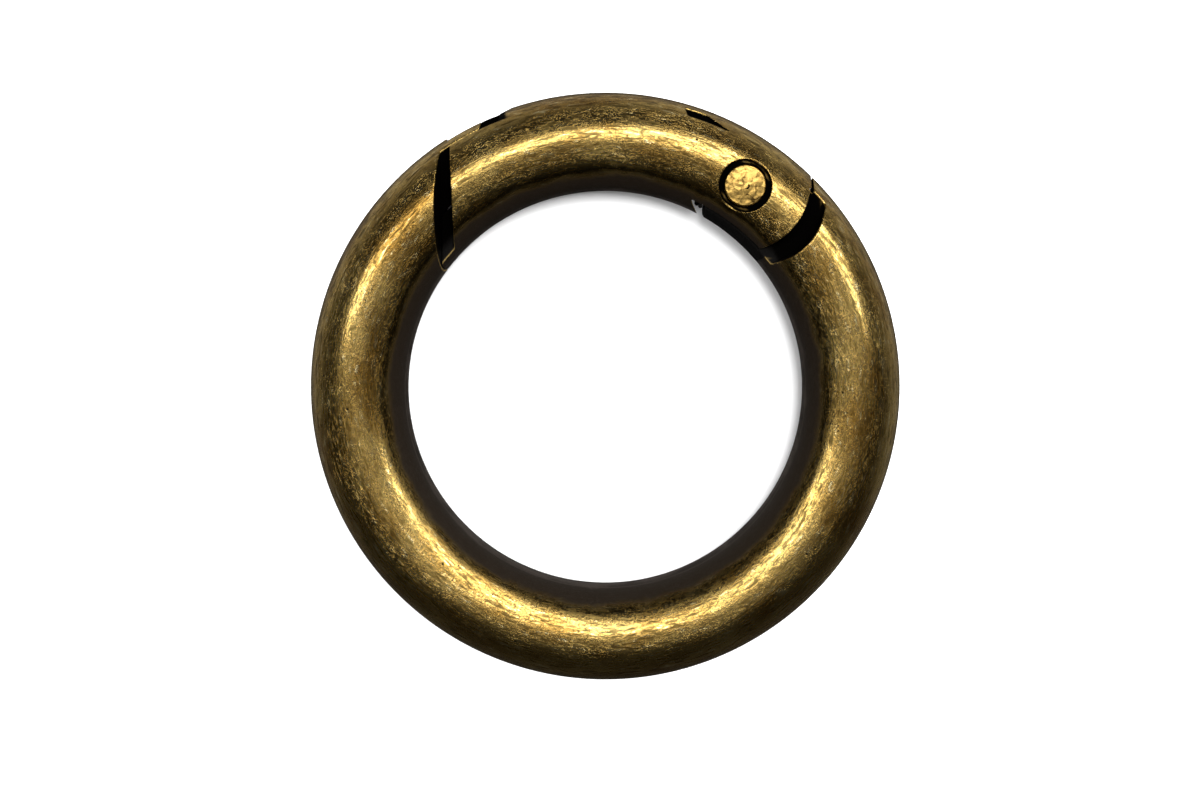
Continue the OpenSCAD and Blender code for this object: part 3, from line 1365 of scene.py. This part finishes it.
@dataclass
class SoftBox:
    """One soft box that hangs level above the ring.

    Place and size are shares of its height in millimetres, and turn is in degrees. The
    strength is the brightness of its face. A box that isn't mirrored lights the table
    and gives the metal no highlight.
    """

    name: str
    place: tuple[float, float]
    size: tuple[float, float]
    strength: float
    turn: float = 0.0
    height: float = 400.0
    mirrored: bool = True

    def build(self) -> None:
        """Makes the light."""
        lamp = bpy.data.lights.new(self.name, "AREA")
        lamp.shape = "RECTANGLE"
        wide, deep = (share * self.height * MM for share in self.size)
        lamp.size, lamp.size_y = wide, deep
        lamp.energy = self.strength * math.pi * wide * deep
        box = placed(self.name, lamp)
        x, y = (share * self.height * MM for share in self.place)
        box.location = (x, y, self.height * MM)
        box.rotation_euler = (0.0, 0.0, math.radians(self.turn))
        box.visible_glossy = self.mirrored


@dataclass(frozen=True)
class WhiteCard:
    """Matt white card that glows round the ring, painted light that hides the ring's
    shadow there; inside the ring it is lit only from above.

    Border is the width in millimetres over which its glow starts.
    """

    name: str = "white_card_glowing_round_ring"
    pigment: str = "#F4F4F4"
    painted_glow: str = "#FFFFFF"
    strength: float = 0.8
    border: float = 0.5
    rough: float = 0.9

    def build(self, ring_r: float) -> bpy.types.Material:
        """Makes the material.

        Args:
            ring_r: Radius in millimetres of the circle on which the ring rests.

        Returns:
            The finished material.
        """
        material = bpy.data.materials.new(self.name)
        put = partial(add, blank_tree(material))
        place = put("ShaderNodeTexCoord").outputs["Object"]
        radius = put("ShaderNodeVectorMath", {0: place}, operation="LENGTH")
        # Painted light: the card glows only outside the circle on which the ring rests
        lit = put(
            "ShaderNodeMapRange",
            {
                "Value": radius,
                "From Min": ring_r * MM,
                "From Max": (ring_r + self.border) * MM,
                "To Max": self.strength,
            },
        )
        card = put(
            "ShaderNodeBsdfPrincipled",
            {
                "Base Color": linear(self.pigment),
                "Roughness": self.rough,
                "Emission Color": linear(self.painted_glow),
                "Emission Strength": lit,
            },
        )
        put("ShaderNodeOutputMaterial", {"Surface": card})
        return material


@dataclass
class Studio:
    """Pale floor, soft overhead light and a camera above the ring.

    Lengths are in millimetres, and tilt is in degrees. Ceiling and table give, for the
    room that the metal mirrors, two heights of the sky as sines and the brightness at
    each. Contact does the same for the shadow at the ring's foot. Shade gives the share
    of the table's light that comes from the near side and from the far side, reached at
    shade_reach, and daylight is what the room throws on matt things.
    """

    section: RoundSection
    card: WhiteCard = field(default_factory=WhiteCard)
    tilt: float = 5.5
    lens: float = 100.0
    sensor: float = 36.0
    distance: float = 211.8
    aim: tuple[float, float] = (-0.338, -0.76)
    clip: tuple[float, float] = (10.0, 5000.0)
    floor_size: float = 900.0
    floor_gap: float = 0.02
    backdrop: str = "#F2F2F2"
    room: str = "#FFFFFF"
    ceiling: tuple[float, float, float, float] = (0.72, 1.0, 0.012, 0.15)
    table: tuple[float, float, float, float] = (0.35, -0.65, 0.0, 0.42)
    contact: tuple[float, float, float, float] = (-0.95, -0.75, 0.1, 1.0)
    shade: tuple[float, float] = (0.05, 1.0)
    shade_reach: float = 0.6
    daylight: float = 0.45
    boxes: list[SoftBox] = field(
        default_factory=lambda: [
            SoftBox("top_box", (-0.02, 0.24), (0.32, 0.40), 3.9, turn=15.0),
            SoftBox("key_box", (0.38, 0.52), (0.60, 0.44), 5.4, turn=15.0),
            SoftBox("side_box", (0.79, 0.34), (0.28, 0.38), 5.6, turn=20.0),
            SoftBox("back_box", (0.62, 0.95), (0.34, 0.30), 5.0, turn=25.0),
            SoftBox("right_box", (1.15, 0.66), (0.50, 0.42), 4.8, turn=25.0),
            SoftBox("left_box", (-0.58, 0.23), (0.62, 0.28), 4.8),
            SoftBox("table_box", (0.12, 0.20), (0.22, 0.22), 65.0, mirrored=False),
        ]
    )

    def build(self) -> None:
        """Makes floor, lights, surroundings and camera."""
        self._floor()
        for box in self.boxes:
            box.build()
        self._surroundings()
        self._camera()
        view = bpy.context.scene.view_settings
        view.view_transform = "Standard"
        view.look = "None"

    def _floor(self) -> None:
        """Lays the floor just under the ring."""
        half = self.floor_size / 2 * MM
        level = -(self.section.section_r + self.floor_gap) * MM
        mesh = bpy.data.meshes.new("studio_floor")
        square = [(-half, -half), (half, -half), (half, half), (-half, half)]
        mesh.from_pydata([(x, y, level) for x, y in square], [], [(0, 1, 2, 3)])
        mesh.materials.append(self.card.build(self.section.ring_r))
        floor = placed("studio_floor", mesh)
        floor.visible_glossy = False

    def _surroundings(self) -> None:
        """Makes a dim room for reflections, a soft sky for matt things and a backdrop."""
        world = bpy.data.worlds.new("studio")
        bpy.context.scene.world = world
        put = partial(add, blank_tree(world))
        rays = put("ShaderNodeLightPath").outputs
        way = put("ShaderNodeTexCoord").outputs["Generated"]
        _, back, rise = put("ShaderNodeSeparateXYZ", {"Vector": way}).outputs
        above, below, under = (
            put(
                "ShaderNodeMapRange",
                {
                    "Value": rise,
                    "From Min": start,
                    "From Max": end,
                    "To Min": low,
                    "To Max": high,
                },
                interpolation_type="SMOOTHSTEP",
            )
            for start, end, low, high in (self.ceiling, self.table, self.contact)
        )
        near, far = self.shade
        side = put(
            "ShaderNodeMapRange",
            {
                "Value": back,
                "From Min": -self.shade_reach,
                "From Max": self.shade_reach,
                "To Min": near,
                "To Max": far,
            },
        )
        floor = put("ShaderNodeMath", {0: below, 1: under}, operation="MULTIPLY")
        lower = put("ShaderNodeMath", {0: floor, 1: side}, operation="MULTIPLY")
        light = put("ShaderNodeMath", {0: above, 1: lower}, operation="ADD")
        white = linear(self.room)
        dim = put("ShaderNodeBackground", {"Color": white, "Strength": light})
        sky = put("ShaderNodeBackground", {"Color": white, "Strength": self.daylight})
        pale = put("ShaderNodeBackground", {"Color": linear(self.backdrop)})
        lit = put("ShaderNodeMixShader", {0: rays["Is Glossy Ray"], 1: sky, 2: dim})
        both = put("ShaderNodeMixShader", {0: rays["Is Camera Ray"], 1: lit, 2: pale})
        put("ShaderNodeOutputWorld", {"Surface": both})

    def _camera(self) -> None:
        """Sets the camera above the ring, leaning a little towards the gate's side."""
        data = bpy.data.cameras.new("camera")
        data.lens = self.lens
        data.sensor_width = self.sensor
        data.clip_start, data.clip_end = (length * MM for length in self.clip)
        camera = placed("camera", data)
        tilt = math.radians(self.tilt)
        away = Vector((0.0, math.sin(tilt), math.cos(tilt)))
        up = Vector((0.0, math.cos(tilt), -math.sin(tilt)))
        target = Vector((self.aim[0], 0.0, 0.0)) + up * self.aim[1]
        camera.location = (target + away * self.distance) * MM
        camera.rotation_mode = "QUATERNION"
        side = up.cross(away)
        camera.rotation_quaternion = Matrix((side, up, away)).transposed().to_quaternion()
        bpy.context.scene.camera = camera


def main() -> None:
    """Builds every piece, the studio and the camera."""
    logging.basicConfig(level=logging.INFO, format="%(name)s: %(message)s")
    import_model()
    section = RoundSection.of_frame()
    LOG.info("ring radius %.3f, section radius %.3f", section.ring_r, section.section_r)
    Studio(section).build()
    # Painted shade: the inner side by the hinge, round the tongue, is painted near black
    # with its soot
    heel_room = SootAndShadePatch(turn=(40.0, 76.0), lean=(-1.1, -0.3), height=(-0.1, 2.2))
    nose_tip = DrawnTip(tip=116.4, root=118.2, reach=0.25)
    Casting(
        "ring_body",
        Body.RING,
        Slot.BODY,
        AntiqueBrass("antique_brass_plated_zinc_body", middle=272.7),
        section,
        grain=0.07,
        soot_and_shade_patches=(heel_room,),
        drawn=(nose_tip,),
    ).build()
    # Painted shade: the pocket beside the nose is painted near black with its soot, a
    # thin middle strip left
    nose_pocket = SootAndShadePatch(turn=(109.8, 116.0), lean=(0.8, 1.1), height=(0.25, 1.7))
    tail_edge = DrawnTip(tip=45.2, root=47.2, reach=0.1, lean=0.7)
    Casting(
        "gate",
        Body.GATE,
        Slot.GATE,
        AntiqueBrass("antique_brass_plated_zinc_gate", middle=92.7),
        section,
        grain=0.045,
        soot_and_shade_patches=(nose_pocket,),
        drawn=(tail_edge,),
    ).build()
    PeenedPin(PeenedBrass()).build()
    GateSpring(DrawnSteel(), pivot_angle=56.0).build()


if __name__ == "__main__":
    main()
